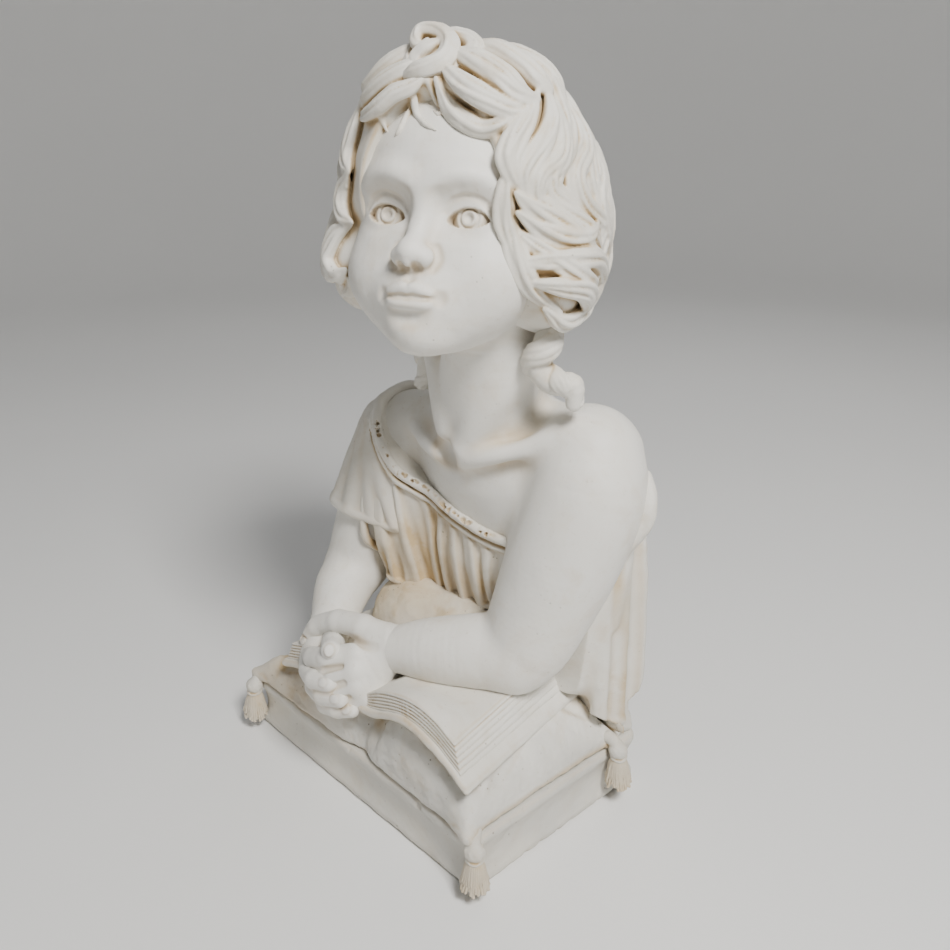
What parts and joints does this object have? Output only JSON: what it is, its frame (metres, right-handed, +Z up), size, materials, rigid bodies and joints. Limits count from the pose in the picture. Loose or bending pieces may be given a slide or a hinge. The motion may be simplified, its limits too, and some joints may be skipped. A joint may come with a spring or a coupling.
{
  "type": "marble bust",
  "caption": "Cast stone half-length figurine of a child leaning on an open book, on a tasselled cushion and plain plinth.",
  "frame": {"origin": "centre of the plinth's underside, where it stands", "axes": "+Z up; -Y towards the plinth's front, where the hands and the book's front edge are; +X towards the figure's left"},
  "size_m": [0.2298, 0.1595, 0.4049],
  "materials": {
    "head": "off-white cast stone, matt satin, ochre staining in the hollows",
    "torso": "off-white cast stone, matt satin, ochre staining in the hollows",
    "left_arm": "off-white cast stone, matt satin, ochre staining in the hollows",
    "right_arm": "off-white cast stone, matt satin, ochre staining in the hollows",
    "left_hand": "off-white cast stone, matt satin, ochre staining in the hollows",
    "right_hand": "off-white cast stone, matt satin, ochre staining in the hollows",
    "tunic": "off-white cast stone, matt satin, ochre staining in the hollows",
    "sleeve": "off-white cast stone, matt satin, ochre staining in the hollows",
    "hair_crown": "off-white cast stone, matt satin, ochre staining in the hollows",
    "hair_left": "off-white cast stone, matt satin, ochre staining in the hollows",
    "hair_right": "off-white cast stone, matt satin, ochre staining in the hollows",
    "hair_back": "off-white cast stone, matt satin, ochre staining in the hollows",
    "forelock": "off-white cast stone, matt satin, ochre staining in the hollows",
    "left_ringlets": "off-white cast stone, matt satin, ochre staining in the hollows",
    "right_ringlet": "off-white cast stone, matt satin, ochre staining in the hollows",
    "book_cover": "off-white cast stone, matt satin, ochre staining in the hollows",
    "left_page_block": "off-white cast stone, matt satin, ochre staining in the hollows",
    "right_page_block": "off-white cast stone, matt satin, ochre staining in the hollows",
    "plinth": "off-white cast stone, matt, dusty, with small casting pits",
    "cushion": "off-white cast stone, matt, dusty, with small casting pits",
    "back_block": "off-white cast stone, matt, dusty, with small casting pits",
    "support_mound": "off-white cast stone, matt, dusty, with small casting pits",
    "tassel_front_left": "off-white cast stone, matt, dusty, with small casting pits",
    "tassel_front_right": "off-white cast stone, matt, dusty, with small casting pits",
    "tassel_back_left": "off-white cast stone, matt, dusty, with small casting pits",
    "tassel_back_right": "off-white cast stone, matt, dusty, with small casting pits",
    "centre_rod": "plain zinc-plated steel",
    "rod_washer": "plain zinc-plated steel",
    "rod_nut": "plain zinc-plated steel",
    "neck_dowel": "plain zinc-plated steel"
  },
  "bodies": {
    "root": {"head": "head", "torso": "torso", "left_arm": "left_arm", "right_arm": "right_arm", "left_hand": "left_hand", "right_hand": "right_hand", "tunic": "tunic", "sleeve": "sleeve", "hair_crown": "hair_crown", "hair_left": "hair_left", "hair_right": "hair_right", "hair_back": "hair_back", "forelock": "forelock", "left_ringlets": "left_ringlets", "right_ringlet": "right_ringlet", "book_cover": "book_cover", "left_page_block": "left_page_block", "right_page_block": "right_page_block", "plinth": "plinth", "cushion": "cushion", "back_block": "back_block", "support_mound": "support_mound", "tassel_front_left": "tassel_front_left", "tassel_front_right": "tassel_front_right", "tassel_back_left": "tassel_back_left", "tassel_back_right": "tassel_back_right", "centre_rod": "centre_rod", "rod_washer": "rod_washer", "rod_nut": "rod_nut", "neck_dowel": "neck_dowel"}
  },
  "joints": []
}
